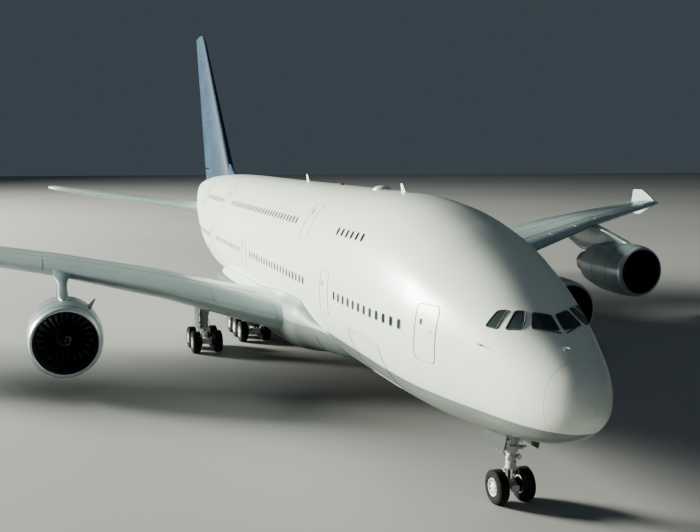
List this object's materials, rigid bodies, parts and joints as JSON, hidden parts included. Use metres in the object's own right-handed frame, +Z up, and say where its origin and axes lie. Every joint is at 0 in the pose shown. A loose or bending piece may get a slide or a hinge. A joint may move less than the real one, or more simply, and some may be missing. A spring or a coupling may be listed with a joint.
{
  "type": "wide body four-engined double-deck airliner, 1:2 scale model",
  "caption": "Wide body airliner with two full-length decks, four turning fans, steered nose gear, rolling wheels and hinged control surfaces and doors, parked on its gear, at half size.",
  "frame": {"origin": "on the ground on the centreline, midway between the nose tip and the rearmost edge", "axes": "+Z up, -Y forward along the nose, +X to port"},
  "size_m": [39.875, 36.36, 12.045],
  "materials": {
    "white_paint": "gloss white paint",
    "grey_paint": "gloss light grey paint",
    "fin_paint": "gloss dark blue paint",
    "wing_paint": "satin grey paint with bare metal slats",
    "nacelle_paint": "satin silver-grey paint",
    "engine_metal": "bare titanium and heat-tinted metal",
    "gear_steel": "grey enamel on steel",
    "tyre_and_wheel": "black rubber tyre on a white painted wheel",
    "cockpit_glass": "dark tinted glass"
  },
  "bodies": {
    "airframe": {"belly_fairing": "grey_paint", "body_gear_leg_left": "gear_steel", "body_gear_leg_right": "gear_steel", "centre_fuselage": "white_paint", "engine_core_1": "engine_metal", "engine_core_2": "engine_metal", "engine_core_3": "engine_metal", "engine_core_4": "engine_metal", "fin": "fin_paint", "flight_deck_glazing": "cockpit_glass", "forward_fuselage": "white_paint", "inboard_flap_left": "wing_paint", "inboard_flap_right": "wing_paint", "nacelle_1": "nacelle_paint", "nacelle_2": "nacelle_paint", "nacelle_3": "nacelle_paint", "nacelle_4": "nacelle_paint", "nose_gear_leg": "gear_steel", "nose_radome": "white_paint", "outboard_flap_left": "wing_paint", "outboard_flap_right": "wing_paint", "pylon_1": "nacelle_paint", "pylon_2": "nacelle_paint", "pylon_3": "nacelle_paint", "pylon_4": "nacelle_paint", "rear_fuselage": "white_paint", "tail_cone": "white_paint", "tailplane_left": "wing_paint", "tailplane_right": "wing_paint", "wing_gear_leg_left": "gear_steel", "wing_gear_leg_right": "gear_steel", "wing_left": "wing_paint", "wing_right": "wing_paint"},
    "fan_1": {"fan_1": "engine_metal"},
    "fan_2": {"fan_2": "engine_metal"},
    "fan_3": {"fan_3": "engine_metal"},
    "fan_4": {"fan_4": "engine_metal"},
    "nose_gear_steered": {"nose_gear_steered_leg": "gear_steel"},
    "nose_wheels": {"nose_wheels": "tyre_and_wheel"},
    "wing_gear_wheels_left_1": {"wing_gear_wheels_left_1": "tyre_and_wheel"},
    "wing_gear_wheels_right_1": {"wing_gear_wheels_right_1": "tyre_and_wheel"},
    "wing_gear_wheels_left_2": {"wing_gear_wheels_left_2": "tyre_and_wheel"},
    "wing_gear_wheels_right_2": {"wing_gear_wheels_right_2": "tyre_and_wheel"},
    "body_gear_wheels_left_1": {"body_gear_wheels_left_1": "tyre_and_wheel"},
    "body_gear_wheels_right_1": {"body_gear_wheels_right_1": "tyre_and_wheel"},
    "body_gear_wheels_left_2": {"body_gear_wheels_left_2": "tyre_and_wheel"},
    "body_gear_wheels_right_2": {"body_gear_wheels_right_2": "tyre_and_wheel"},
    "body_gear_wheels_left_3": {"body_gear_wheels_left_3": "tyre_and_wheel"},
    "body_gear_wheels_right_3": {"body_gear_wheels_right_3": "tyre_and_wheel"},
    "aileron_left": {"aileron_left": "wing_paint"},
    "aileron_right": {"aileron_right": "wing_paint"},
    "elevator_left": {"elevator_left": "wing_paint"},
    "elevator_right": {"elevator_right": "wing_paint"},
    "lower_rudder": {"lower_rudder": "fin_paint"},
    "upper_rudder": {"upper_rudder": "fin_paint"},
    "nose_gear_door_left": {"nose_gear_door_left": "white_paint"},
    "nose_gear_door_right": {"nose_gear_door_right": "white_paint"},
    "forward_cargo_door": {"forward_cargo_door": "white_paint"},
    "aft_cargo_door": {"aft_cargo_door": "white_paint"}
  },
  "joints": [
    {"name": "fan_1_spin", "type": "hinge", "parent": "airframe", "child": "fan_1", "pos_m": [12.85, -1.32, 1.95], "axis": [0, 1, 0], "continuous": true},
    {"name": "fan_2_spin", "type": "hinge", "parent": "airframe", "child": "fan_2", "pos_m": [7.41, -5.12, 1.42], "axis": [0, 1, 0], "continuous": true},
    {"name": "fan_3_spin", "type": "hinge", "parent": "airframe", "child": "fan_3", "pos_m": [-7.41, -5.12, 1.42], "axis": [0, 1, 0], "continuous": true},
    {"name": "fan_4_spin", "type": "hinge", "parent": "airframe", "child": "fan_4", "pos_m": [-12.85, -1.32, 1.95], "axis": [0, 1, 0], "continuous": true},
    {"name": "nose_steering", "type": "hinge", "parent": "airframe", "child": "nose_gear_steered", "pos_m": [0, -15.63, 0.65], "axis": [0, 0, 1], "range_deg": [-70, 70]},
    {"name": "nose_wheels_roll", "type": "hinge", "parent": "nose_gear_steered", "child": "nose_wheels", "pos_m": [0, -15.63, 0.30954], "axis": [1, 0, 0], "continuous": true},
    {"name": "wing_gear_wheels_left_1_roll", "type": "hinge", "parent": "airframe", "child": "wing_gear_wheels_left_1", "pos_m": [3.115, -1.805, 0.34122], "axis": [1, 0, 0], "continuous": true},
    {"name": "wing_gear_wheels_right_1_roll", "type": "hinge", "parent": "airframe", "child": "wing_gear_wheels_right_1", "pos_m": [-3.115, -1.805, 0.34122], "axis": [1, 0, 0], "continuous": true},
    {"name": "wing_gear_wheels_left_2_roll", "type": "hinge", "parent": "airframe", "child": "wing_gear_wheels_left_2", "pos_m": [3.115, -0.955, 0.34122], "axis": [1, 0, 0], "continuous": true},
    {"name": "wing_gear_wheels_right_2_roll", "type": "hinge", "parent": "airframe", "child": "wing_gear_wheels_right_2", "pos_m": [-3.115, -0.955, 0.34122], "axis": [1, 0, 0], "continuous": true},
    {"name": "body_gear_wheels_left_1_roll", "type": "hinge", "parent": "airframe", "child": "body_gear_wheels_left_1", "pos_m": [1.315, -0.58, 0.34122], "axis": [1, 0, 0], "continuous": true},
    {"name": "body_gear_wheels_right_1_roll", "type": "hinge", "parent": "airframe", "child": "body_gear_wheels_right_1", "pos_m": [-1.315, -0.58, 0.34122], "axis": [1, 0, 0], "continuous": true},
    {"name": "body_gear_wheels_left_2_roll", "type": "hinge", "parent": "airframe", "child": "body_gear_wheels_left_2", "pos_m": [1.315, 0.27, 0.34122], "axis": [1, 0, 0], "continuous": true},
    {"name": "body_gear_wheels_right_2_roll", "type": "hinge", "parent": "airframe", "child": "body_gear_wheels_right_2", "pos_m": [-1.315, 0.27, 0.34122], "axis": [1, 0, 0], "continuous": true},
    {"name": "body_gear_wheels_left_3_roll", "type": "hinge", "parent": "airframe", "child": "body_gear_wheels_left_3", "pos_m": [1.315, 1.12, 0.34122], "axis": [1, 0, 0], "continuous": true},
    {"name": "body_gear_wheels_right_3_roll", "type": "hinge", "parent": "airframe", "child": "body_gear_wheels_right_3", "pos_m": [-1.315, 1.12, 0.34122], "axis": [1, 0, 0], "continuous": true},
    {"name": "aileron_left_hinge", "type": "hinge", "parent": "airframe", "child": "aileron_left", "pos_m": [13.8, 4.42107, 3.52126], "axis": [0.8874, 0.4567, 0.0619], "range_deg": [-20, 30]},
    {"name": "aileron_right_hinge", "type": "hinge", "parent": "airframe", "child": "aileron_right", "pos_m": [-18.7, 6.94297, 3.86303], "axis": [0.8874, -0.4567, -0.0619], "range_deg": [-20, 30]},
    {"name": "elevator_left_hinge", "type": "hinge", "parent": "airframe", "child": "elevator_left", "pos_m": [1.45, 15.0402, 3.74779], "axis": [0.9214, 0.3693, 0.1208], "range_deg": [-20, 30]},
    {"name": "elevator_right_hinge", "type": "hinge", "parent": "airframe", "child": "elevator_right", "pos_m": [-7.2, 17.34492, 4.50189], "axis": [0.9214, -0.3693, -0.1208], "range_deg": [-20, 30]},
    {"name": "lower_rudder_hinge", "type": "hinge", "parent": "airframe", "child": "lower_rudder", "pos_m": [0, 13.80212, 5.5], "axis": [0, 0.4823, 0.876], "range_deg": [-30, 30]},
    {"name": "upper_rudder_hinge", "type": "hinge", "parent": "airframe", "child": "upper_rudder", "pos_m": [0, 15.52279, 8.625], "axis": [0, 0.4823, 0.876], "range_deg": [-30, 30]},
    {"name": "nose_gear_door_left_hinge", "type": "hinge", "parent": "airframe", "child": "nose_gear_door_left", "pos_m": [0.353, -16.105, 1.40736], "axis": [0, -0.979, 0.2039], "range_deg": [0, 88]},
    {"name": "nose_gear_door_right_hinge", "type": "hinge", "parent": "airframe", "child": "nose_gear_door_right", "pos_m": [-0.353, -17.205, 1.63652], "axis": [0, 0.979, -0.2039], "range_deg": [0, 88]},
    {"name": "forward_cargo_door_hinge", "type": "hinge", "parent": "airframe", "child": "forward_cargo_door", "pos_m": [-1.70541, -13.205, 2.475], "axis": [-0.0308, 0.9995, 0], "range_deg": [0, 120]},
    {"name": "aft_cargo_door_hinge", "type": "hinge", "parent": "airframe", "child": "aft_cargo_door", "pos_m": [-1.63792, 6.02, 2.475], "axis": [0.0972, 0.9953, 0], "range_deg": [0, 120]}
  ]
}
